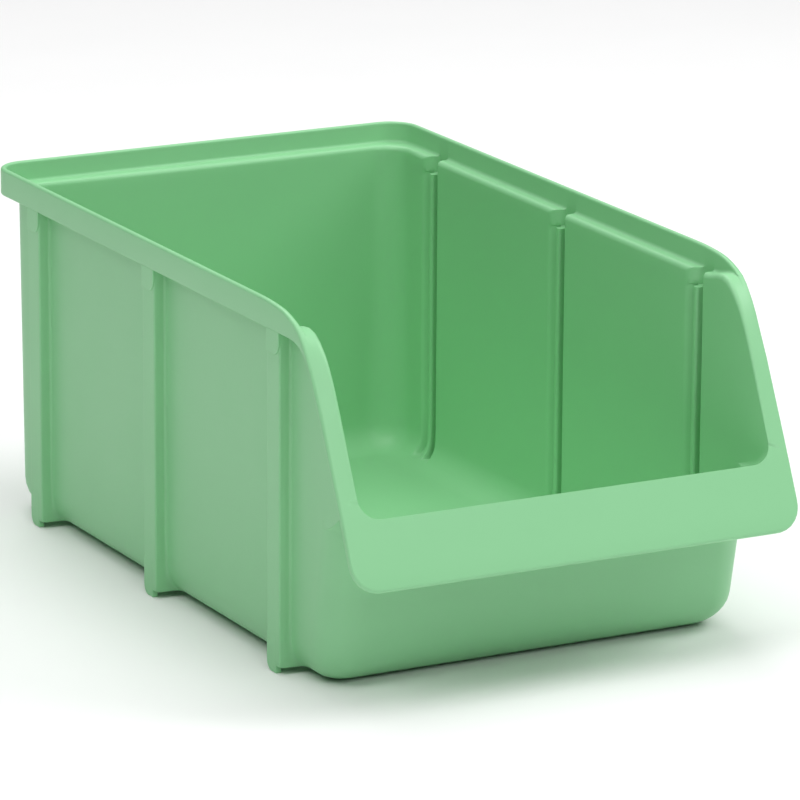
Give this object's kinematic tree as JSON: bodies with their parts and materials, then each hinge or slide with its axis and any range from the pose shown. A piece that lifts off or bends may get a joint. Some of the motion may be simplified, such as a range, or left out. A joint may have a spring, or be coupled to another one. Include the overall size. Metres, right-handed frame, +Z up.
{
  "type": "stackable storage bin",
  "caption": "Open-front plastic storage bin with hollow side ribs, a stacking rim with an inner ledge, and a broad front lip.",
  "frame": {"origin": "middle of the bin's footprint, on the ground", "axes": "+Z up, -Y out of the open front, +X to the right of someone facing the front lip"},
  "size_m": [0.206, 0.35, 0.155],
  "materials": {
    "green_polypropylene": "fine satin, as moulded"
  },
  "bodies": {
    "root": {"floor_pan": "green_polypropylene", "front_lip": "green_polypropylene", "front_wall": "green_polypropylene", "left_rib_front": "green_polypropylene", "left_rib_middle": "green_polypropylene", "left_rib_rear": "green_polypropylene", "left_rim": "green_polypropylene", "left_wall": "green_polypropylene", "rear_rim": "green_polypropylene", "rear_wall": "green_polypropylene", "right_rib_front": "green_polypropylene", "right_rib_middle": "green_polypropylene", "right_rib_rear": "green_polypropylene", "right_rim": "green_polypropylene", "right_wall": "green_polypropylene"}
  },
  "joints": []
}
